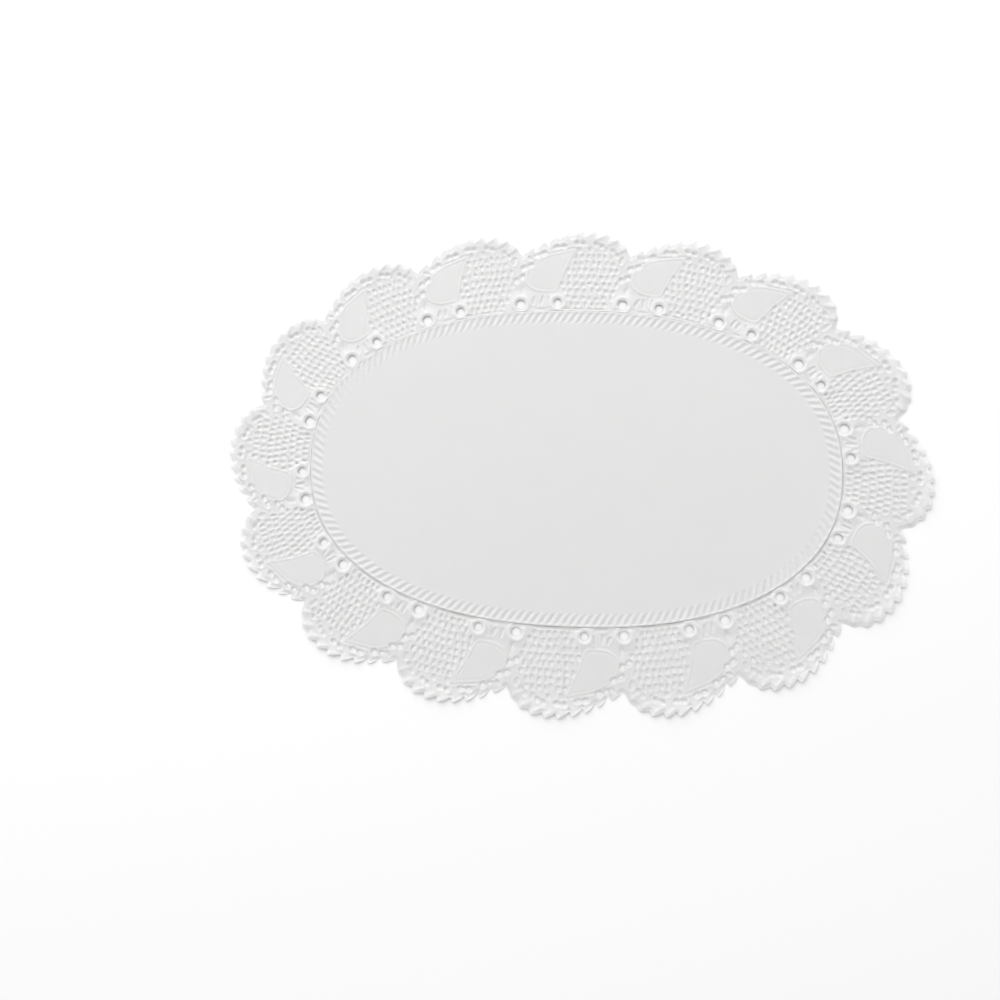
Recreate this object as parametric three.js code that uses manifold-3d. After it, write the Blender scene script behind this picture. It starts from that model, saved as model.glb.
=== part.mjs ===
// Oval paper doily: one flat sheet of embossed, die-cut paper. Millimetres, +Z up, underside at Z = 0.
// The plain centre is a rounded oval. The border around it is one motif, repeated once for each scallop.
import * as THREE from "three";
import { mergeGeometries, mergeVertices } from "three/addons/utils/BufferGeometryUtils.js";
import Module from "manifold-3d";

const wasm = await Module();
wasm.setup();

// Driving dimensions
const overallLength = 270;
const overallWidth = 190;
const borderDepth = 38.5; // from the plain centre's edge to the crown of a scallop
const ovalSquareness = 2.3; // exponent of the centre's oval, 2 being a plain ellipse
const scallopCount = 16;
const sheetThickness = 1.1;
const embossHeight = 0.6; // how far the raised ribs stand above the sheet
const ribSink = 0.15; // how deep a rib's body reaches into the sheet below it

// Ladder of slanted ribs around the centre
const ladderRibs = 176;
const ladderInnerRise = 0.6;
const ladderOuterRise = 4.3;
const ladderSlant = 3.0; // how far a rib's outer end runs ahead of its inner end, clockwise
const ladderRibWidth = 1.7;

// Rope edge of petals: how far the outline drops behind each pointed tip
const toothDepth = 1.9;

// Places on the border are given by two figures. "turn" counts scallops counter-clockwise from the middle of
// a scallop, and "rise" is the distance in mm out from the plain centre's edge.
const petalTips = [
  { turn: -0.45, rise: 32.0 },
  { turn: -0.37, rise: 35.4 },
  { turn: -0.27, rise: 37.5 },
  { turn: -0.16, rise: 38.4 },
  { turn: -0.05, rise: 38.5 },
  { turn: 0.07, rise: 37.6 },
  { turn: 0.18, rise: 36.2 },
  { turn: 0.29, rise: 34.2 },
  { turn: 0.4, rise: 31.6 },
];
const notch = { turn: 0.5, rise: 28.3 };

// Openings of one motif. "across" lies along the border and "tall" out from it, in mm, before the opening is
// turned by "lean" degrees. "bow" lifts its middle outward and makes a crescent of it.
const openings = [
  { name: "large ring", turn: 0.54, rise: 8.2, across: 4.6, tall: 4.6, lean: 0, bow: 0, corners: 8 },
  { name: "small ring", turn: 0.17, rise: 8.4, across: 4.0, tall: 4.2, lean: 0, bow: 0, corners: 8 },
  { name: "upright slot", turn: 0.51, rise: 13.9, across: 4.2, tall: 1.8, lean: 82, bow: 0.2, corners: 6 },
  { name: "first crescent", turn: 0.54, rise: 18.6, across: 5.2, tall: 2.2, lean: 28, bow: 0.6, corners: 6 },
  { name: "second crescent", turn: 0.46, rise: 23.6, across: 5.6, tall: 2.1, lean: 22, bow: 0.5, corners: 6 },
  { name: "third crescent", turn: 0.33, rise: 28.5, across: 5.6, tall: 2.1, lean: 16, bow: 0.5, corners: 6 },
  { name: "fourth crescent", turn: 0.15, rise: 31.6, across: 5.4, tall: 1.9, lean: 6, bow: 0.4, corners: 6 },
  { name: "crown crescent", turn: -0.03, rise: 33.1, across: 5.0, tall: 1.9, lean: -4, bow: 0.4, corners: 6 },
  { name: "falling crescent", turn: -0.2, rise: 32.3, across: 4.6, tall: 1.8, lean: -22, bow: 0.4, corners: 6 },
  { name: "last crescent", turn: -0.35, rise: 29.2, across: 4.2, tall: 1.6, lean: -52, bow: 0.3, corners: 6 },
];

// Upright cells of the net between two leaves, cut at twice the pitch of the real net
const netCells = [
  { turn: 0.0, rise: 10.4, across: 2.5, tall: 5.0 },
  { turn: -0.13, rise: 10.4, across: 2.5, tall: 5.0 },
  { turn: -0.26, rise: 10.4, across: 2.5, tall: 5.0 },
  { turn: -0.1, rise: 19.5, across: 2.6, tall: 5.0 },
  { turn: -0.24, rise: 19.5, across: 2.6, tall: 5.0 },
];

// Raised plain leaf beside the net, round at its foot and pointed at its tip
const leafCorners = [
  { turn: 0.2, rise: 13.6 },
  { turn: 0.14, rise: 16.0 },
  { turn: 0.1, rise: 21.0 },
  { turn: 0.08, rise: 28.6 },
  { turn: 0.25, rise: 26.6 },
  { turn: 0.37, rise: 22.8 },
  { turn: 0.42, rise: 18.0 },
  { turn: 0.36, rise: 14.2 },
];

// Edge of the plain centre, walked once in small steps. Each step keeps a point, the outward direction there
// and the length of the walk so far, measured along the edge itself and along a line through the border.
const centreHalfLength = overallLength / 2 - borderDepth;
const centreHalfWidth = overallWidth / 2 - borderDepth;
const spacingRise = 31; // scallops are evenly spaced along the line this far out from the centre's edge
const edgeSteps = 7200;

function signedPower(value, exponent) {
  return Math.sign(value) * Math.abs(value) ** exponent;
}

function walkCentreEdge() {
  const stops = [];
  let edgeLength = 0;
  let borderLength = 0;
  for (let step = 0; step <= edgeSteps; step += 1) {
    const angle = (step / edgeSteps) * 2 * Math.PI;
    const x = centreHalfLength * signedPower(Math.cos(angle), 2 / ovalSquareness);
    const y = centreHalfWidth * signedPower(Math.sin(angle), 2 / ovalSquareness);
    const outward = new THREE.Vector2(
      signedPower(x / centreHalfLength, ovalSquareness - 1) / centreHalfLength,
      signedPower(y / centreHalfWidth, ovalSquareness - 1) / centreHalfWidth,
    ).normalize();
    const point = new THREE.Vector2(x, y);
    const spacingPoint = point.clone().addScaledVector(outward, spacingRise);
    const last = stops.at(-1);
    if (last) {
      edgeLength += point.distanceTo(last.point);
      borderLength += spacingPoint.distanceTo(last.spacingPoint);
    }
    stops.push({ point, outward, spacingPoint, edgeLength, borderLength });
  }
  return stops;
}

const edge = walkCentreEdge();
const edgeTotal = edge.at(-1).edgeLength;
const borderTotal = edge.at(-1).borderLength;

// The stop on the centre's edge where the given measure of the walk reaches the given length
function edgeStop(measure, length) {
  let low = 0;
  let high = edgeSteps;
  while (high - low > 1) {
    const middle = Math.floor((low + high) / 2);
    if (edge[middle][measure] <= length) {
      low = middle;
    } else {
      high = middle;
    }
  }
  const part = (length - edge[low][measure]) / (edge[high][measure] - edge[low][measure]);
  return {
    point: edge[low].point.clone().lerp(edge[high].point, part),
    outward: edge[low].outward.clone().lerp(edge[high].outward, part).normalize(),
  };
}

function stopAtTurn(turn) {
  return edgeStop("borderLength", THREE.MathUtils.euclideanModulo(turn / scallopCount, 1) * borderTotal);
}

function borderPoint({ turn, rise }) {
  const stop = stopAtTurn(turn);
  return stop.point.addScaledVector(stop.outward, rise);
}

// Toothed outline of the whole doily: a root and a tip for each petal, and the bottom of each notch
function outlineShape() {
  const corners = [];
  for (let scallop = 0; scallop < scallopCount; scallop += 1) {
    for (const tip of petalTips) {
      const turn = scallop + tip.turn;
      corners.push(borderPoint({ turn: turn - 0.02, rise: tip.rise - toothDepth }));
      corners.push(borderPoint({ turn, rise: tip.rise }));
    }
    corners.push(borderPoint({ turn: scallop + notch.turn, rise: notch.rise }));
  }
  return new THREE.Shape(corners);
}

// A figure drawn around a place on the border, from corners given clockwise-ward (x) and outward (y)
function figureAt(turn, rise, lean, corners) {
  const stop = stopAtTurn(turn);
  const middle = stop.point.addScaledVector(stop.outward, rise);
  const clockwise = new THREE.Vector2(stop.outward.y, -stop.outward.x);
  const origin = new THREE.Vector2();
  return corners.map((corner) => {
    const turned = corner.clone().rotateAround(origin, THREE.MathUtils.degToRad(lean));
    return middle.clone().addScaledVector(clockwise, turned.x).addScaledVector(stop.outward, turned.y);
  });
}

function openingPath(row, scallop) {
  const corners = [];
  for (let corner = 0; corner < row.corners; corner += 1) {
    const angle = (corner / row.corners) * 2 * Math.PI;
    const along = Math.cos(angle);
    const lift = row.bow * (1 - along * along);
    corners.push(new THREE.Vector2((along * row.across) / 2, (Math.sin(angle) * row.tall) / 2 + lift));
  }
  return new THREE.Path(figureAt(scallop + row.turn, row.rise, row.lean, corners));
}

function netCellPath(row, scallop) {
  const corners = [
    new THREE.Vector2(-row.across / 2, -row.tall / 2),
    new THREE.Vector2(row.across / 2, -row.tall / 2),
    new THREE.Vector2(row.across / 2, row.tall / 2),
    new THREE.Vector2(-row.across / 2, row.tall / 2),
  ];
  return new THREE.Path(figureAt(scallop + row.turn, row.rise, 0, corners));
}

function cutSheet() {
  const shape = outlineShape();
  for (let scallop = 0; scallop < scallopCount; scallop += 1) {
    for (const row of openings) {
      shape.holes.push(openingPath(row, scallop));
    }
    for (const row of netCells) {
      shape.holes.push(netCellPath(row, scallop));
    }
  }
  return new THREE.ExtrudeGeometry(shape, { depth: sheetThickness, bevelEnabled: false });
}

// A raised rib between two places on the sheet: a long low pyramid, highest at its middle
function rib(start, end, width) {
  const body = new THREE.ConeGeometry(Math.SQRT1_2, 1, 4, 1, false, Math.PI / 4).toNonIndexed();
  body.rotateX(Math.PI / 2);
  body.scale(start.distanceTo(end), width, ribSink + embossHeight);
  body.rotateZ(Math.atan2(end.y - start.y, end.x - start.x));
  const middle = start.clone().lerp(end, 0.5);
  return body.translate(middle.x, middle.y, sheetThickness + (embossHeight - ribSink) / 2);
}

function ladder() {
  const ribs = [];
  for (let index = 0; index < ladderRibs; index += 1) {
    const length = (index / ladderRibs) * edgeTotal;
    const foot = edgeStop("edgeLength", length);
    const head = edgeStop("edgeLength", THREE.MathUtils.euclideanModulo(length - ladderSlant, edgeTotal));
    const start = foot.point.addScaledVector(foot.outward, ladderInnerRise);
    const end = head.point.addScaledVector(head.outward, ladderOuterRise);
    ribs.push(rib(start, end, ladderRibWidth));
  }
  return ribs;
}

function leafPads() {
  const pads = [];
  for (let scallop = 0; scallop < scallopCount; scallop += 1) {
    const corners = leafCorners.map(({ turn, rise }) => borderPoint({ turn: scallop + turn, rise }));
    const depth = ribSink + embossHeight / 2;
    const pad = new THREE.ExtrudeGeometry(new THREE.Shape(corners), { depth, bevelEnabled: false });
    pads.push(pad.translate(0, 0, sheetThickness - ribSink));
  }
  return pads;
}

// Closed bodies for joining, and back again
function toSolid(geometry) {
  const bare = geometry.clone();
  bare.deleteAttribute("normal");
  bare.deleteAttribute("uv");
  const merged = mergeVertices(bare, 1e-4);
  return new wasm.Manifold(new wasm.Mesh({
    numProp: 3,
    vertProperties: new Float32Array(merged.attributes.position.array),
    triVerts: new Uint32Array(merged.index.array),
  }));
}

function toGeometry(solid) {
  const mesh = solid.getMesh();
  const geometry = new THREE.BufferGeometry();
  geometry.setAttribute("position", new THREE.BufferAttribute(mesh.vertProperties, 3));
  geometry.setIndex(new THREE.BufferAttribute(mesh.triVerts, 1));
  geometry.computeVertexNormals();
  return geometry;
}

const reliefs = mergeGeometries([...ladder(), ...leafPads()]);
const sheet = toGeometry(toSolid(cutSheet()).add(toSolid(reliefs)));

// The tips of the crown petals set the overall size
sheet.computeBoundingBox();
const drawn = sheet.boundingBox.getSize(new THREE.Vector3());
sheet.scale(overallLength / drawn.x, overallWidth / drawn.y, 1);
sheet.computeBoundingBox();
const middle = sheet.boundingBox.getCenter(new THREE.Vector3());
sheet.translate(-middle.x, -middle.y, 0);

const paper = new THREE.MeshStandardMaterial({ color: 0xf1f0ef, roughness: 0.85, metalness: 0 });
const doily = new THREE.Mesh(sheet, paper);
doily.name = "doily";

const part = new THREE.Group();
part.add(doily);

export default part;
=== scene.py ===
# Oval paper doily: the embossed sheet, its paper, the light and the view.
# Sizes are in mm until a mesh is made.
import math

import bmesh
import bpy
import numpy as np
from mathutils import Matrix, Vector


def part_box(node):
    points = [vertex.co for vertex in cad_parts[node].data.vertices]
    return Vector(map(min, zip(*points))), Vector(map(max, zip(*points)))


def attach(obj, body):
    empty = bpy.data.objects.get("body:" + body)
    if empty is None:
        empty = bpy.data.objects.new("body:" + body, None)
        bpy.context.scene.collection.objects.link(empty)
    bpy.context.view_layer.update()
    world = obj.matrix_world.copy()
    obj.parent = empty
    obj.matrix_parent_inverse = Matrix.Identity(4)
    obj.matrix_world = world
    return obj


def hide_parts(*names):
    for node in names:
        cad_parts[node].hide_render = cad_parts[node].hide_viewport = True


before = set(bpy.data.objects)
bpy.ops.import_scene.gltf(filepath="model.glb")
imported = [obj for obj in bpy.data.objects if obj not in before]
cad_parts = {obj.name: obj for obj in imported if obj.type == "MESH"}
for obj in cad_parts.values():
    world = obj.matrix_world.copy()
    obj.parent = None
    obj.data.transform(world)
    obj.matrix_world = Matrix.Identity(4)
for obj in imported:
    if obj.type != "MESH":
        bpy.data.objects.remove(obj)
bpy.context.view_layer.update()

MM = 0.001

# Sizes of the whole doily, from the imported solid
low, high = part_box("doily")
OVERALL_LENGTH = (high.x - low.x) / MM
OVERALL_WIDTH = (high.y - low.y) / MM

# Driving sizes of the border. A rise is a distance out from the plain centre's edge.
SCALLOPS = 16
BORDER_DEPTH = 38.5
OVAL_SQUARENESS = 2.3
SPACING_RISE = 31.0
SEAM_RISE = 5.0

# Fineness of the sheet: columns round the whole border, and rows across the lace and across the ladder
RING_COLUMNS = 2048
LACE_ROWS = 98
LADDER_ROWS = 16

# How far the grids reach inside the plain centre's edge and past the border's tips
INNER_MARGIN = 0.6
OUTER_MARGIN = 0.3

# Farthest that a corner of the grid moves to reach a cut edge
EDGE_REACH = 0.22

# In metres: corners closer than the first are one, and heights closer than the second are level
JOIN_DISTANCE = 0.00002
LEVEL_TOLERANCE = 1e-7

# Heights of the paper's upper side above the table: plain centre, lace, and the lowest that anything dips
PLAIN_LEVEL = 0.80
LACE_LEVEL = 0.45
LOWEST_LEVEL = 0.15
PAPER_THICKNESS = 0.15

# Widths at the seam over which the lace slopes up to the centre, and over which its embossing begins
CENTRE_SLOPE = 3.5
SEAM_BLEND = 0.6

# Ladder of slanted ribs between two rises. It fades over a short way outside and inside each of them, and a
# raised line runs round it.
LADDER_RIBS = 176
LADDER_RISE = (0.4, 4.3)
LADDER_SLANT = 2.3
LADDER_FADE = (0.3, 0.4)
LADDER_DEPTH = 0.20
LADDER_RIB_HEIGHT = 0.37
LADDER_LINE = {"offset": 4.55, "half_width": 0.55, "height": 0.18}

# Groove outside the ladder, deeper in dashes. Each row is the middle and half length of one dash, in turns.
GROOVE_RISE = 5.9
GROOVE_HALF_WIDTH = 0.75
GROOVE_DEPTH = 0.06
DASH_DEPTH = 0.36
DASH_FADE = 0.03
GROOVE_DASHES = [(0.33, 0.055), (-0.07, 0.22), (-0.45, 0.06)]

# The paper rises towards each ring, between two distances from it
RING_LIFT = 0.40
RING_LIFT_REACH = (4.0, 0.6)

# The scallops lift off the table between two rises, and round down at their cut edge
RIM_LIFT = 1.40
RIM_LIFT_RISE = (29, 44)
RIM_DROP = 0.38
RIM_ROUND = 1.4

# A petal of the rope runs from its heel to its tip, clockwise along the border and out from it. The skew puts
# its widest place nearer the tip, a fullness below 1 makes it blunter, and the shift moves it outward. Its
# outer slope is the wide one. Its height at the heel is a share of that at the tip.
PETAL_RUN = 5.6
PETAL_CLIMB = 3.2
PETAL_WIDTH = 3.2
PETAL_SKEW = 1.25
PETAL_FULLNESS = 0.6
PETAL_SHIFT = 0.2
PETAL_OUTER_SLOPE = 2.2
PETAL_INNER_SLOPE = 0.8
PETAL_HEEL_SHARE = 0.7
ROPE_HEIGHT = 0.38

# Pointed tips of the rope's petals in one scallop. "turn" counts scallops counter-clockwise from a scallop's
# middle and "rise" is the distance out from the plain centre's edge.
PETAL_TIPS = [
    {"turn": -0.45, "rise": 32.0},
    {"turn": -0.37, "rise": 35.4},
    {"turn": -0.27, "rise": 37.5},
    {"turn": -0.16, "rise": 38.4},
    {"turn": -0.05, "rise": 38.5},
    {"turn": 0.07, "rise": 37.6},
    {"turn": 0.18, "rise": 36.2},
    {"turn": 0.29, "rise": 34.2},
    {"turn": 0.40, "rise": 31.6},
]
NOTCH = {"turn": 0.5, "rise": 28.3}
TOOTH_DEPTH = 1.9
TOOTH_TURN = 0.02

# Rounding of a petal's back: shares of the way from its tip to the next root, and how far it bulges there
PETAL_BACK = [(0.35, 0.35), (0.7, 0.3)]

# Openings of one motif: "across" along the border, "tall" out from it, turned by "lean" degrees, with the
# middle lifted outward by "bow"
OPENINGS = [
    # rings
    {"kind": "ring", "turn": 0.54, "rise": 8.2, "across": 4.6, "tall": 4.6, "lean": 0, "bow": 0.0},
    {"kind": "ring", "turn": 0.17, "rise": 8.4, "across": 4.0, "tall": 4.2, "lean": 0, "bow": 0.0},
    # upright slot and the chain of crescents outside the leaf
    {"kind": "slot", "turn": 0.51, "rise": 13.9, "across": 4.2, "tall": 1.8, "lean": 82, "bow": 0.2},
    {"kind": "crescent", "turn": 0.54, "rise": 18.6, "across": 5.2, "tall": 2.2, "lean": 28, "bow": 0.6},
    {"kind": "crescent", "turn": 0.46, "rise": 23.6, "across": 5.6, "tall": 2.1, "lean": 22, "bow": 0.5},
    {"kind": "crescent", "turn": 0.33, "rise": 28.5, "across": 5.6, "tall": 2.1, "lean": 16, "bow": 0.5},
    {"kind": "crescent", "turn": 0.15, "rise": 31.6, "across": 5.4, "tall": 1.9, "lean": 6, "bow": 0.4},
    {"kind": "crescent", "turn": -0.03, "rise": 33.1, "across": 5.0, "tall": 1.9, "lean": -4, "bow": 0.4},
    {"kind": "crescent", "turn": -0.20, "rise": 32.3, "across": 4.6, "tall": 1.8, "lean": -22, "bow": 0.4},
    {"kind": "crescent", "turn": -0.35, "rise": 29.2, "across": 4.2, "tall": 1.6, "lean": -52, "bow": 0.3},
    # folds between the two rings
    {"kind": "fold", "turn": 0.26, "rise": 9.6, "across": 1.3, "tall": 3.4, "lean": 8, "bow": 0.0},
    {"kind": "fold", "turn": 0.33, "rise": 9.4, "across": 1.3, "tall": 3.6, "lean": -6, "bow": 0.0},
    {"kind": "fold", "turn": 0.40, "rise": 9.6, "across": 1.3, "tall": 3.8, "lean": -20, "bow": 0.0},
    # dimples between the net and the rope
    {"kind": "fold", "turn": -0.42, "rise": 26.4, "across": 1.9, "tall": 3.6, "lean": -10, "bow": 0.0},
    {"kind": "fold", "turn": -0.26, "rise": 30.9, "across": 1.7, "tall": 2.6, "lean": -8, "bow": 0.0},
    {"kind": "fold", "turn": -0.13, "rise": 30.7, "across": 1.9, "tall": 2.2, "lean": 20, "bow": 0.0},
    {"kind": "fold", "turn": -0.02, "rise": 30.5, "across": 1.9, "tall": 2.4, "lean": 10, "bow": 0.0},
    {"kind": "fold", "turn": 0.42, "rise": 27.6, "across": 1.6, "tall": 2.8, "lean": 50, "bow": 0.0},
]

# How each kind of opening is formed: whether it is cut through, how deep the paper dips there in shares of
# DIP_DEPTH, how far outside its outline the dip starts, how far inside its outline it is cut, and the height
# and half width of its raised collar. The dip is full a little past the cut.
EDGES = {
    "ring": {"cut": True, "dip": 0.8, "slope": 0.1, "inset": 0.35, "collar": 0.22, "collar_width": 0.8},
    "slot": {"cut": True, "dip": 1.0, "slope": 0.9, "inset": 0.60, "collar": 0.0, "collar_width": 0.7},
    "eyelet": {"cut": True, "dip": 1.8, "slope": 0.6, "inset": 0.45, "collar": 0.10, "collar_width": 0.6},
    "net": {"cut": True, "dip": 1.0, "slope": 0.3, "inset": 0.48, "collar": 0.12, "collar_width": 0.4},
    "fold": {"cut": False, "dip": 0.9, "slope": 0.3, "inset": 0.50, "collar": 0.12, "collar_width": 0.4},
}
DIP_DEPTH = 0.30
DIP_PAST_CUT = 0.1

# Each crescent is pressed as a pair of small holes: the length of each as a share of the crescent's, and how
# much less tall it is
PAIR_SHARE = 0.46
PAIR_TRIM = 0.2

# Net of small cells between two leaves: its rows lie one outside another, each between two turns
NET_PITCH = 2.35
NET_CELL = {"across": 1.65, "tall": 2.4}
NET_ROWS = [
    {"rise": 7.5, "from": -0.315, "to": 0.07},
    {"rise": 10.3, "from": -0.335, "to": 0.07},
    {"rise": 13.2, "from": -0.39, "to": 0.15},
    {"rise": 16.1, "from": -0.39, "to": 0.125},
    {"rise": 19.0, "from": -0.385, "to": 0.10},
    {"rise": 21.9, "from": -0.38, "to": 0.075},
    {"rise": 24.8, "from": -0.37, "to": 0.045},
    {"rise": 27.6, "from": -0.32, "to": 0.0},
]

# Unevenness of the die: the share of the net's cells that is cut through and not only pressed, and how far
# cells and folds stray in place, in size and in degrees of lean
CUT_SHARE = 0.4
STRAY = {"turn": 0.008, "rise": 0.4, "across": 0.18, "tall": 0.15, "lean": 12}
STRAY_SEED = 7

# Plain raised leaf beside the net, round at its foot and pointed at its fourth corner
LEAF = [
    {"turn": 0.21, "rise": 13.6},
    {"turn": 0.16, "rise": 16.5},
    {"turn": 0.115, "rise": 22.0},
    {"turn": 0.03, "rise": 30.2},
    {"turn": 0.25, "rise": 28.0},
    {"turn": 0.405, "rise": 24.0},
    {"turn": 0.475, "rise": 18.4},
    {"turn": 0.39, "rise": 14.2},
]
LEAF_TIP = 3
LEAF_STEPS = 6
LEAF_PAD_HEIGHT = 0.16
LEAF_PAD_SLOPE = (-0.3, 1.2)
LEAF_LINE = {"offset": 0.2, "half_width": 0.6, "height": 0.22}

# A second line runs outside the leaf on its outer side only
LEAF_OUTER_LINE = {"offset": 1.7, "half_width": 0.55, "height": 0.20}
LEAF_OUTER_LEAN = 0.6
LEAF_OUTER_FADE = (0.1, 0.5)

# Where each form can touch the sheet: turns either way from its middle, and rises either way or from and to
OPENING_REACH = {"turn": 0.35, "rise": 6}
PETAL_REACH = {"turn": 0.16, "rise": 5}
RIM_REACH = {"turn": 0.505, "from": 22}
LEAF_REACH = {"middle": 0.25, "turn": 0.4, "from": 9, "to": 33}

# A distance beyond any on the sheet, and the least that a share or a length is divided by
FAR = 1e9
LEAST_SHARE = 1e-6
LEAST_LENGTH = 1e-9


# The plain centre's edge, walked once in small steps
class CentreEdge:
    def __init__(self, steps=7200):
        half_length = OVERALL_LENGTH / 2 - BORDER_DEPTH
        half_width = OVERALL_WIDTH / 2 - BORDER_DEPTH
        angle = np.linspace(0, 2 * math.pi, steps + 1)
        self.x = half_length * signed_power(np.cos(angle), 2 / OVAL_SQUARENESS)
        self.y = half_width * signed_power(np.sin(angle), 2 / OVAL_SQUARENESS)
        out_x = signed_power(self.x / half_length, OVAL_SQUARENESS - 1) / half_length
        out_y = signed_power(self.y / half_width, OVAL_SQUARENESS - 1) / half_width
        size = np.hypot(out_x, out_y)
        self.out_x = out_x / size
        self.out_y = out_y / size
        self.along_edge = run_of(self.x, self.y)
        self.along_border = run_of(self.x + SPACING_RISE * self.out_x, self.y + SPACING_RISE * self.out_y)

    def length_at(self, turn):
        return np.mod(turn, SCALLOPS) / SCALLOPS * self.along_border[-1]

    # The edge's point at a turn, with the direction straight out from it
    def stop(self, turn):
        length = self.length_at(turn)
        columns = (self.x, self.y, self.out_x, self.out_y)
        return [np.interp(length, self.along_border, column) for column in columns]

    def point(self, turn, rise):
        x, y, out_x, out_y = self.stop(turn)
        return x + rise * out_x, y + rise * out_y

    # Number of ladder ribs passed on the way to a turn
    def ladder_phase(self, turn):
        passed = np.interp(self.length_at(turn), self.along_border, self.along_edge)
        return passed / self.along_edge[-1] * LADDER_RIBS


def signed_power(value, exponent):
    return np.sign(value) * np.abs(value) ** exponent


def run_of(x, y):
    return np.concatenate([[0], np.cumsum(np.hypot(np.diff(x), np.diff(y)))])


EDGE = CentreEdge()


# Width of one scallop at a rise
def turn_width(rise):
    return (EDGE.along_border[-1] + 2 * math.pi * (rise - SPACING_RISE)) / SCALLOPS


# Smooth profiles across a raised line or at the rim of a raised pad
def ridge(distance, half_width):
    return np.clip(1 - (distance / half_width) ** 2, 0, 1) ** 1.5


def ramp(value, start, end):
    share = np.clip((value - start) / (end - start), 0, 1)
    return share * share * (3 - 2 * share)


def line_height(line, distance):
    return line["height"] * ridge(distance - line["offset"], line["half_width"])


# Distance from points to a line through corners, with the direction away from the line
def line_distance(x, y, line_x, line_y):
    best = np.full(x.shape, FAR)
    away_x = np.zeros(x.shape)
    away_y = np.zeros(x.shape)
    for x0, y0, x1, y1 in zip(line_x[:-1], line_y[:-1], line_x[1:], line_y[1:]):
        run_x = x1 - x0
        run_y = y1 - y0
        share = np.clip(((x - x0) * run_x + (y - y0) * run_y) / (run_x**2 + run_y**2), 0, 1)
        off_x = x - x0 - share * run_x
        off_y = y - y0 - share * run_y
        distance = np.hypot(off_x, off_y)
        nearer = distance < best
        best[nearer] = distance[nearer]
        away_x[nearer] = off_x[nearer]
        away_y[nearer] = off_y[nearer]
    size = np.maximum(best, LEAST_LENGTH)
    return best, away_x / size, away_y / size


def inside_of(x, y, line_x, line_y):
    inside = np.zeros(x.shape, bool)
    for x0, y0, x1, y1 in zip(line_x[:-1], line_y[:-1], line_x[1:], line_y[1:]):
        crosses = (y0 > y) != (y1 > y)
        at = x0 + (y - y0) / np.where(y1 == y0, LEAST_LENGTH, y1 - y0) * (x1 - x0)
        inside ^= crosses & (x < at)
    return inside


# The rim of one scallop as turns and rises, from notch to notch, each petal's back slightly rounded
def rim_line():
    turns = [NOTCH["turn"] - 1]
    rises = [NOTCH["rise"]]
    for number, tip in enumerate(PETAL_TIPS):
        turns.append(tip["turn"] - TOOTH_TURN)
        rises.append(tip["rise"] - TOOTH_DEPTH)
        turns.append(tip["turn"])
        rises.append(tip["rise"])
        if number + 1 < len(PETAL_TIPS):
            following = PETAL_TIPS[number + 1]
            root = {"turn": following["turn"] - TOOTH_TURN, "rise": following["rise"] - TOOTH_DEPTH}
        else:
            root = NOTCH
        for share, bulge in PETAL_BACK:
            turns.append(tip["turn"] + share * (root["turn"] - tip["turn"]))
            rises.append(tip["rise"] + share * (root["rise"] - tip["rise"]) + bulge)
    turns.append(NOTCH["turn"])
    rises.append(NOTCH["rise"])
    return np.array(turns), np.array(rises)


# Weights of four corners in a row for a point between the middle two: straight, or on a smooth curve
def corner_weights(share, straight):
    if straight:
        return (0, 1 - share, share, 0)
    return (
        (-share + 2 * share**2 - share**3) / 2,
        (2 - 5 * share**2 + 3 * share**3) / 2,
        (share + 4 * share**2 - 3 * share**3) / 2,
        (share**3 - share**2) / 2,
    )


# A closed curve through a leaf's corners, straight on both sides of its tip
def leaf_line(scallop):
    corners = [EDGE.point(scallop + row["turn"], row["rise"]) for row in LEAF]
    count = len(corners)
    line = []
    for number in range(count):
        for step in range(LEAF_STEPS):
            weights = corner_weights(step / LEAF_STEPS, number in (LEAF_TIP - 1, LEAF_TIP))
            near = [corners[(number + place - 1) % count] for place in range(4)]
            parts = list(zip(weights, near))
            line.append([sum(weight * corner[axis] for weight, corner in parts) for axis in (0, 1)])
    line.append(line[0])
    return np.array(line).T


# Two small holes side by side in place of a crescent
def pair_of(row):
    away = row["across"] / 4
    lean = math.radians(row["lean"])
    for side in (-1, 1):
        yield {
            **row,
            "kind": "eyelet",
            "turn": row["turn"] - side * away * math.cos(lean) / turn_width(row["rise"]),
            "rise": row["rise"] + side * away * math.sin(lean) + row["bow"] / 2,
            "across": row["across"] * PAIR_SHARE,
            "tall": row["tall"] - PAIR_TRIM,
            "bow": 0.0,
        }


# Every second row of the net is shifted by half a cell and has one cell more
def net_cells():
    for number, net in enumerate(NET_ROWS):
        shifted = number % 2
        count = round((net["to"] - net["from"]) * turn_width(net["rise"]) / NET_PITCH)
        step = (net["to"] - net["from"]) / count
        for cell in range(count + shifted):
            turn = net["from"] + step * (cell + 0.5 - 0.5 * shifted)
            yield {"kind": "net", "turn": turn, "rise": net["rise"], **NET_CELL, "lean": 0, "bow": 0.0}


# All openings of one motif, with the crescents' pairs and the net's cells worked out
def motif_openings():
    rows = []
    for row in OPENINGS:
        rows.extend(pair_of(row) if row["kind"] == "crescent" else [row])
    rows.extend(net_cells())
    return rows


# A cell or fold a little out of its place, pressed or cut as chance has it
def uneven(row, chance):
    if row["kind"] not in ("net", "fold"):
        return row
    turn, rise, size, lean, pick = chance.uniform(-1, 1, 5)
    cut = row["kind"] == "net" and (pick + 1) / 2 < CUT_SHARE
    return {
        **row,
        "kind": "net" if cut else "fold",
        "turn": row["turn"] + STRAY["turn"] * turn,
        "rise": row["rise"] + STRAY["rise"] * rise,
        "across": row["across"] * (1 + STRAY["across"] * size),
        "tall": row["tall"] * (1 - STRAY["tall"] * size),
        "lean": row["lean"] + STRAY["lean"] * lean,
    }


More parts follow.
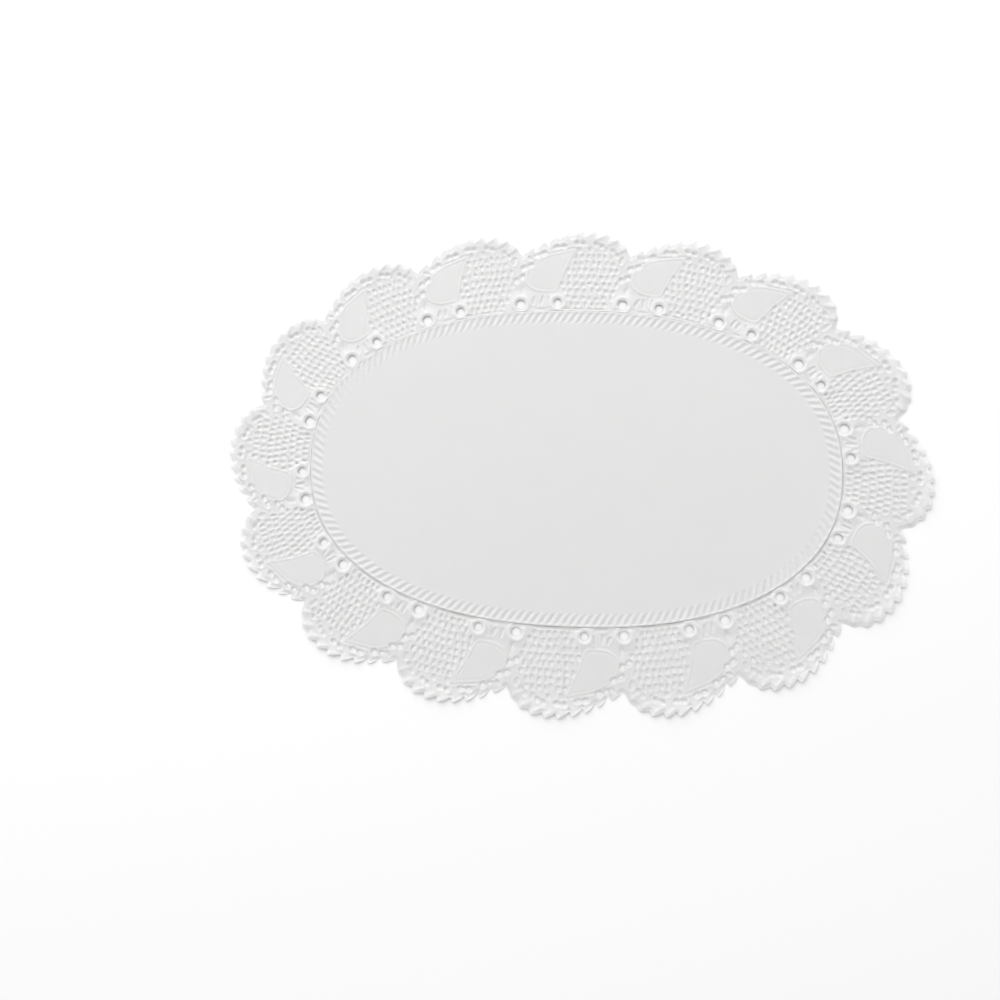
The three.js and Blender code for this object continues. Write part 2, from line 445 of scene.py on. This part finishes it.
# The lace border: relief and openings as functions of each point's place
class Lace:
    def __init__(self, turn, rise):
        self.turn = turn
        self.rise = rise
        self.x, self.y = EDGE.point(turn, rise)
        self.gap = np.full(turn.shape, FAR)
        self.gap_x = np.zeros(turn.shape)
        self.gap_y = np.zeros(turn.shape)
        self.collar = np.zeros(turn.shape)
        self.dip = np.zeros(turn.shape)
        self.mound = np.zeros(turn.shape)
        self.pad = np.zeros(turn.shape)
        self.rim = np.full(turn.shape, FAR)
        self.rope = np.zeros(turn.shape)
        chance = np.random.RandomState(STRAY_SEED)
        for scallop in range(SCALLOPS):
            self.add_rim(scallop)
            self.add_petals(scallop)
            self.add_leaf(scallop)
            for row in motif_openings():
                self.add_opening(scallop, uneven(row, chance))

    def near(self, turn, reach):
        away = np.mod(self.turn - turn + SCALLOPS / 2, SCALLOPS) - SCALLOPS / 2
        return np.flatnonzero(np.abs(away) < reach)

    # Keeps the distance to the nearest cut edge, and the direction away from it
    def keep_gap(self, at, distance, away_x, away_y):
        closer = distance < self.gap[at]
        chosen = at[closer]
        self.gap[chosen] = distance[closer]
        self.gap_x[chosen] = away_x[closer]
        self.gap_y[chosen] = away_y[closer]

    def add_opening(self, scallop, row):
        turn = scallop + row["turn"]
        at = self.near(turn, OPENING_REACH["turn"])
        at = at[np.abs(self.rise[at] - row["rise"]) < OPENING_REACH["rise"]]
        x, y, out_x, out_y = (float(value) for value in EDGE.stop(turn))
        off_x = self.x[at] - x - row["rise"] * out_x
        off_y = self.y[at] - y - row["rise"] * out_y
        clockwise = off_x * out_y - off_y * out_x
        outward = off_x * out_x + off_y * out_y
        lean = math.radians(row["lean"])
        half_p = row["across"] / 2
        half_q = row["tall"] / 2
        p = clockwise * math.cos(lean) + outward * math.sin(lean)
        q = outward * math.cos(lean) - clockwise * math.sin(lean)
        q = q - row["bow"] * (1 - (p / half_p) ** 2).clip(-1, 1)
        grown = np.maximum(np.hypot(p / half_p, q / half_q), LEAST_SHARE)
        slope_p = p / half_p**2 / grown
        slope_q = q / half_q**2 / grown
        slope = np.maximum(np.hypot(slope_p, slope_q), LEAST_SHARE)
        distance = (grown - 1) / slope
        away_p = slope_p / slope
        away_q = slope_q / slope
        away_clock = away_p * math.cos(lean) - away_q * math.sin(lean)
        away_out = away_q * math.cos(lean) + away_p * math.sin(lean)
        away_x = away_clock * out_y + away_out * out_x
        away_y = -away_clock * out_x + away_out * out_y
        edge = EDGES[row["kind"]]
        if edge["cut"]:
            self.keep_gap(at, distance + edge["inset"], away_x, away_y)
        dip = edge["dip"] * ramp(distance, edge["slope"], -edge["inset"] - DIP_PAST_CUT)
        self.dip[at] = np.maximum(self.dip[at], dip)
        width = edge["collar_width"]
        collar = edge["collar"] * ridge(distance - width, width)
        self.collar[at] = np.maximum(self.collar[at], collar)
        if row["kind"] == "ring":
            self.mound[at] = np.maximum(self.mound[at], ramp(distance, *RING_LIFT_REACH))

    def add_rim(self, scallop):
        turns, rises = rim_line()
        line_x, line_y = EDGE.point(scallop + turns, rises)
        at = self.near(scallop, RIM_REACH["turn"])
        at = at[self.rise[at] > RIM_REACH["from"]]
        distance, away_x, away_y = line_distance(self.x[at], self.y[at], line_x, line_y)
        local = np.mod(self.turn[at] - scallop + SCALLOPS / 2, SCALLOPS) - SCALLOPS / 2
        outside = np.interp(local, turns, rises) < self.rise[at]
        sign = np.where(outside, -1, 1)
        self.rim[at] = np.minimum(self.rim[at], distance * sign)
        self.keep_gap(at, distance * sign, away_x * sign, away_y * sign)

    def add_leaf(self, scallop):
        line_x, line_y = leaf_line(scallop)
        at = self.near(scallop + LEAF_REACH["middle"], LEAF_REACH["turn"])
        at = at[(self.rise[at] > LEAF_REACH["from"]) & (self.rise[at] < LEAF_REACH["to"])]
        distance, away_x, away_y = line_distance(self.x[at], self.y[at], line_x, line_y)
        inside = inside_of(self.x[at], self.y[at], line_x, line_y)
        signed = np.where(inside, -distance, distance)
        self.pad[at] += LEAF_PAD_HEIGHT * ramp(-signed, *LEAF_PAD_SLOPE)
        out_x, out_y = EDGE.stop(self.turn[at])[2:]
        clockwise = away_x * out_y - away_y * out_x
        facing = away_x * out_x + away_y * out_y - LEAF_OUTER_LEAN * clockwise
        outer_side = ramp(facing, *LEAF_OUTER_FADE) * ~inside
        lines = np.maximum(line_height(LEAF_LINE, signed), outer_side * line_height(LEAF_OUTER_LINE, signed))
        self.collar[at] = np.maximum(self.collar[at], lines)

    def add_petals(self, scallop):
        heel_turn = PETAL_RUN / EDGE.along_border[-1] * SCALLOPS
        for tip in PETAL_TIPS:
            turn = scallop + tip["turn"]
            tip_x, tip_y = EDGE.point(turn, tip["rise"])
            heel_x, heel_y = EDGE.point(turn + heel_turn, tip["rise"] - PETAL_CLIMB)
            at = self.near(turn + heel_turn / 2, PETAL_REACH["turn"])
            at = at[np.abs(self.rise[at] - tip["rise"] + PETAL_CLIMB / 2) < PETAL_REACH["rise"]]
            run_x = tip_x - heel_x
            run_y = tip_y - heel_y
            length = math.hypot(run_x, run_y)
            off_x = self.x[at] - heel_x
            off_y = self.y[at] - heel_y
            share = (off_x * run_x + off_y * run_y) / length**2
            side = (off_x * run_y - off_y * run_x) / length + PETAL_SHIFT
            bow = np.clip(np.sin(math.pi * np.clip(share, 0, 1) ** PETAL_SKEW), 0, 1)
            half = PETAL_WIDTH / 2 * bow**PETAL_FULLNESS
            crest = ramp(half + side, 0.0, PETAL_OUTER_SLOPE) * ramp(half - side, 0.0, PETAL_INNER_SLOPE)
            crest = crest * (PETAL_HEEL_SHARE + (1 - PETAL_HEEL_SHARE) * share)
            self.rope[at] = np.maximum(self.rope[at], crest)

    def groove_depth(self):
        place = np.mod(self.turn + 0.5, 1) - 0.5
        depth = np.full(self.turn.shape, GROOVE_DEPTH)
        for middle, half in GROOVE_DASHES:
            depth += DASH_DEPTH * ramp(np.abs(place - middle), half + DASH_FADE, half - DASH_FADE)
        return depth * ridge(self.rise - GROOVE_RISE, GROOVE_HALF_WIDTH)

    # Height of the paper's upper side above the table
    def height(self):
        inner = ramp(self.rise, SEAM_RISE, SEAM_RISE + SEAM_BLEND)
        raised = np.maximum(self.collar * inner, ROPE_HEIGHT * self.rope)
        to_centre = ramp(self.rise, SEAM_RISE + CENTRE_SLOPE, SEAM_RISE)
        lift = np.maximum(RIM_LIFT * ramp(self.rise, *RIM_LIFT_RISE), RING_LIFT * self.mound)
        lift = np.maximum(lift, to_centre * (PLAIN_LEVEL - LACE_LEVEL))
        level = LACE_LEVEL + lift + self.pad + raised
        dip = np.maximum(self.dip * inner * DIP_DEPTH, self.groove_depth())
        rim_drop = RIM_DROP * ridge(np.clip(self.rim, 0, RIM_ROUND), RIM_ROUND)
        return np.maximum(level - dip - rim_drop, LOWEST_LEVEL)


# A sheet from a grid whose columns run round the border and rows run outward
def ring_grid(rows, rise_low, rise_high):
    sheet = bmesh.new()
    bmesh.ops.create_grid(sheet, x_segments=RING_COLUMNS, y_segments=rows, size=0.5)
    place = np.array([vert.co[:2] for vert in sheet.verts]) + 0.5
    turn = place[:, 0] * SCALLOPS
    rise = rise_low + place[:, 1] * (rise_high - rise_low)
    return sheet, turn, rise


def place_verts(sheet, x, y, z):
    for vert, px, py, pz in zip(sheet.verts, x.tolist(), y.tolist(), z.tolist()):
        vert.co = (px * MM, py * MM, pz * MM)


# Joins the two ends of the ring, and keeps the relief's directions for the pieces that are cut from it
def close_ring(sheet):
    bmesh.ops.remove_doubles(sheet, verts=sheet.verts, dist=JOIN_DISTANCE)
    bmesh.ops.recalc_face_normals(sheet, faces=sheet.faces)
    if sum(face.normal.z * face.calc_area() for face in sheet.faces) < 0:
        bmesh.ops.reverse_faces(sheet, faces=sheet.faces)
    facing = sheet.verts.layers.float_vector.new("facing")
    sheet.normal_update()
    for vert in sheet.verts:
        vert[facing] = vert.normal


# Gives a sheet its paper thickness and makes it a piece, shaded across its ends as one sheet. The extrude
# turns the faces that it leaves below, so they point down as they should.
def paper_piece(sheet, name, material):
    facing = sheet.verts.layers.float_vector["facing"]
    under_verts = list(sheet.verts)
    bmesh.ops.extrude_face_region(sheet, geom=list(sheet.faces), use_keep_orig=True)
    for vert in under_verts:
        vert[facing] = -vert[facing]
        vert.co.z -= PAPER_THICKNESS * MM
    mesh = bpy.data.meshes.new(name)
    sheet.to_mesh(mesh)
    sheet.free()
    mesh.materials.append(material)
    mesh.shade_smooth()
    normals = np.zeros(len(mesh.vertices) * 3)
    mesh.attributes["facing"].data.foreach_get("vector", normals)
    mesh.attributes.remove(mesh.attributes["facing"])
    mesh.normals_split_custom_set_from_vertices(normals.reshape(-1, 3).tolist())
    piece = bpy.data.objects.new(name, mesh)
    bpy.context.scene.collection.objects.link(piece)
    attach(piece, "root")
    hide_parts("doily")
    return piece


# The whole lace border as one open sheet: openings and the rim cut out of the grid, its corners moved to them
def make_lace_sheet():
    sheet, turn, rise = ring_grid(LACE_ROWS, SEAM_RISE, BORDER_DEPTH + OUTER_MARGIN)
    lace = Lace(turn, rise)
    sheet.verts.index_update()
    gap = lace.gap
    waste = [face for face in sheet.faces if sum(gap[vert.index] for vert in face.verts) < 0]
    bmesh.ops.delete(sheet, geom=waste, context="FACES_ONLY")
    cut = np.zeros(gap.shape, bool)
    for vert in sheet.verts:
        cut[vert.index] = vert.is_boundary
    move = np.where(cut, np.clip(gap, -EDGE_REACH, EDGE_REACH), 0)
    place_verts(sheet, lace.x - move * lace.gap_x, lace.y - move * lace.gap_y, lace.height())
    bmesh.ops.delete(sheet, geom=[vert for vert in sheet.verts if not vert.link_faces], context="VERTS")
    close_ring(sheet)
    return sheet


# The lace border in four quarters, one for each pair of signs of x and y
def make_lace_border(material):
    sheet = make_lace_sheet()
    quarters = []
    for number, (sign_x, sign_y) in enumerate(((1, 1), (-1, 1), (-1, -1), (1, -1))):
        quarter = sheet.copy()
        others = []
        for face in quarter.faces:
            middle = face.calc_center_median()
            if middle.x * sign_x < 0 or middle.y * sign_y < 0:
                others.append(face)
        bmesh.ops.delete(quarter, geom=others, context="FACES")
        quarters.append(paper_piece(quarter, f"lace_border_{number + 1}", material))
    sheet.free()
    return quarters


# The plain centre and the ladder round it, as a ring whose hole is filled
def make_centre(material):
    sheet, turn, rise = ring_grid(LADDER_ROWS, -INNER_MARGIN, SEAM_RISE)
    x, y = EDGE.point(turn, rise)
    inner, outer = LADDER_RISE
    outside, inside = LADDER_FADE
    slant = LADDER_SLANT / EDGE.along_edge[-1] * LADDER_RIBS / (outer - inner)
    phase = EDGE.ladder_phase(turn) + slant * (rise - inner)
    wave = 0.5 + 0.5 * np.cos(2 * math.pi * phase)
    band = ramp(rise, inner - outside, inner + inside) * ramp(rise, outer + outside, outer - inside)
    ribs = band * (LADDER_RIB_HEIGHT * wave - LADDER_DEPTH)
    place_verts(sheet, x, y, PLAIN_LEVEL + ribs + line_height(LADDER_LINE, rise))
    bmesh.ops.remove_doubles(sheet, verts=sheet.verts, dist=JOIN_DISTANCE)
    rims = [edge for edge in sheet.edges if edge.is_boundary]
    hole = [edge for edge in rims if abs(edge.verts[0].co.z - PLAIN_LEVEL * MM) < LEVEL_TOLERANCE]
    bmesh.ops.contextual_create(sheet, geom=hole)
    close_ring(sheet)
    return paper_piece(sheet, "plain_centre", material)


# Shader sums: a wrapped socket takes part in Python expressions
class Sum:
    def __init__(self, tree, socket):
        self.tree = tree
        self.socket = socket

    def node(self, kind, settings=None, inputs=None, output=0):
        made = self.tree.nodes.new(kind)
        for key, value in (settings or {}).items():
            setattr(made, key, value)
        for key, value in (inputs or {}).items():
            if isinstance(value, Sum):
                self.tree.links.new(value.socket, made.inputs[key])
            else:
                made.inputs[key].default_value = value
        return Sum(self.tree, made.outputs[output])

    def calculate(self, operation, first, second):
        return self.node("ShaderNodeMath", {"operation": operation}, {0: first, 1: second})

    def __add__(self, other):
        return self.calculate("ADD", self, other)

    def __radd__(self, other):
        return self.calculate("ADD", other, self)

    def __sub__(self, other):
        return self.calculate("SUBTRACT", self, other)

    def __rsub__(self, other):
        return self.calculate("SUBTRACT", other, self)

    def __mul__(self, other):
        return self.calculate("MULTIPLY", self, other)

    def __rmul__(self, other):
        return self.calculate("MULTIPLY", other, self)


def new_material(name):
    material = bpy.data.materials.new(name)
    material.use_nodes = True
    tree = material.node_tree
    return material, tree, tree.nodes["Principled BSDF"]


# Matt white paper that lets a little light through: two near whites, clouded and fibrous. Lengths in metres.
PAPER_SHADE = (0.915, 0.902, 0.896, 1)
PAPER_WHITE = (0.948, 0.935, 0.929, 1)
PAPER_ROUGHNESS = 0.8
PAPER_GLOSS = 0.3
PAPER_SCATTER = 0.7
PAPER_SCATTER_DEPTH = 0.0006
FIBRE_SCALE = 2600.0
CLOUD_SCALE = 60.0
FIBRE_IN_TONE = 0.4
CLOUD_IN_TONE = 0.6
FIBRE_IN_GRAIN = 0.7
CLOUD_IN_GRAIN = 0.3
GRAIN_STRENGTH = 0.15
GRAIN_DEPTH = 0.0001


def make_paper():
    material, tree, shader = new_material("embossed_white_paper")
    shader.inputs["Roughness"].default_value = PAPER_ROUGHNESS
    shader.inputs["Specular IOR Level"].default_value = PAPER_GLOSS
    shader.inputs["Subsurface Weight"].default_value = PAPER_SCATTER
    shader.inputs["Subsurface Radius"].default_value = (1.0, 1.0, 1.0)
    shader.inputs["Subsurface Scale"].default_value = PAPER_SCATTER_DEPTH
    place = Sum(tree, tree.nodes.new("ShaderNodeTexCoord").outputs["Object"])
    fibre = place.node("ShaderNodeTexNoise", None, {"Vector": place, "Scale": FIBRE_SCALE, "Detail": 3.0})
    cloud = place.node("ShaderNodeTexNoise", None, {"Vector": place, "Scale": CLOUD_SCALE, "Detail": 2.0})
    tone = 0.5 + (cloud - 0.5) * CLOUD_IN_TONE + (fibre - 0.5) * FIBRE_IN_TONE
    shades = {0: tone, 6: PAPER_SHADE, 7: PAPER_WHITE}
    colour = place.node("ShaderNodeMix", {"data_type": "RGBA"}, shades, output=2)
    tree.links.new(colour.socket, shader.inputs["Base Color"])
    grain = fibre * FIBRE_IN_GRAIN + cloud * CLOUD_IN_GRAIN
    relief = {"Height": grain, "Strength": GRAIN_STRENGTH, "Distance": GRAIN_DEPTH}
    bump = place.node("ShaderNodeBump", None, relief)
    tree.links.new(bump.socket, shader.inputs["Normal"])
    return material


# Plain white floor, with half its width in metres
FLOOR_HALF_WIDTH = 3.0
FLOOR_COLOUR = (0.97, 0.97, 0.97, 1)
FLOOR_ROUGHNESS = 0.9


def make_floor():
    material, _, shader = new_material("pale_floor")
    shader.inputs["Base Color"].default_value = FLOOR_COLOUR
    shader.inputs["Roughness"].default_value = FLOOR_ROUGHNESS
    floor = bmesh.new()
    bmesh.ops.create_grid(floor, x_segments=4, y_segments=4, size=FLOOR_HALF_WIDTH)
    mesh = bpy.data.meshes.new("floor")
    floor.to_mesh(mesh)
    floor.free()
    mesh.materials.append(material)
    piece = bpy.data.objects.new("floor", mesh)
    bpy.context.scene.collection.objects.link(piece)


# Soft daylight in a bright room, from a wide lamp beyond the upper left
SKY_STRENGTH = 0.67
LAMP_POWER = 16.0
LAMP_SIZE = 1.5
LAMP_DISTANCE = 1.3
LAMP_ELEVATION = 36.0
LAMP_SIDE = (-0.35, 0.94)


def make_light():
    world = bpy.data.worlds.new("studio")
    world.use_nodes = True
    world.node_tree.nodes["Background"].inputs["Color"].default_value = (1, 1, 1, 1)
    world.node_tree.nodes["Background"].inputs["Strength"].default_value = SKY_STRENGTH
    bpy.context.scene.world = world
    data = bpy.data.lights.new("daylight", "AREA")
    data.energy = LAMP_POWER
    data.size = LAMP_SIZE
    lamp = bpy.data.objects.new("daylight", data)
    side = Vector(LAMP_SIDE).normalized()
    rise = math.tan(math.radians(LAMP_ELEVATION))
    lamp.location = Vector((side.x, side.y, rise)).normalized() * LAMP_DISTANCE
    lamp.rotation_mode = "QUATERNION"
    lamp.rotation_quaternion = (-lamp.location).to_track_quat("-Z", "Y")
    bpy.context.scene.collection.objects.link(lamp)
    bpy.context.scene.view_settings.view_transform = "Standard"


# The photograph's view: nearly from above, from a short distance at the lower right. The pixel is where the
# doily's middle lies. Angles in degrees, distances in metres, the sensor in mm.
CAMERA = {"azimuth": 27.7, "elevation": 81.4, "roll": -25.6, "distance": 0.300, "focal_px": 780.0}
MIDDLE_PX = (570.6, 464.9)
FRAME_PX = 1000
SENSOR = 36.0
NEAREST_SEEN = 0.01


def make_camera():
    azimuth = math.radians(CAMERA["azimuth"])
    elevation = math.radians(CAMERA["elevation"])
    roll = math.radians(CAMERA["roll"])
    back = Vector((
        math.sin(azimuth) * math.cos(elevation),
        -math.cos(azimuth) * math.cos(elevation),
        math.sin(elevation),
    ))
    right = (-back).cross(Vector((0, 0, 1))).normalized()
    up = right.cross(-back)
    turned_right = right * math.cos(roll) + up * math.sin(roll)
    turned_up = up * math.cos(roll) - right * math.sin(roll)
    across = (MIDDLE_PX[0] - FRAME_PX / 2) * CAMERA["distance"] / CAMERA["focal_px"]
    down = (MIDDLE_PX[1] - FRAME_PX / 2) * CAMERA["distance"] / CAMERA["focal_px"]
    data = bpy.data.cameras.new("camera")
    data.sensor_width = SENSOR
    data.lens = CAMERA["focal_px"] / FRAME_PX * SENSOR
    data.clip_start = NEAREST_SEEN
    camera = bpy.data.objects.new("camera", data)
    camera.location = back * CAMERA["distance"] - turned_right * across + turned_up * down
    camera.rotation_mode = "QUATERNION"
    matrix = camera.matrix_world.to_3x3()
    for column, axis in enumerate((turned_right, turned_up, back)):
        matrix.col[column] = axis
    camera.rotation_quaternion = matrix.to_quaternion()
    bpy.context.scene.collection.objects.link(camera)
    bpy.context.scene.camera = camera


paper = make_paper()
centre = make_centre(paper)
quarters = make_lace_border(paper)
make_floor()
make_light()
make_camera()
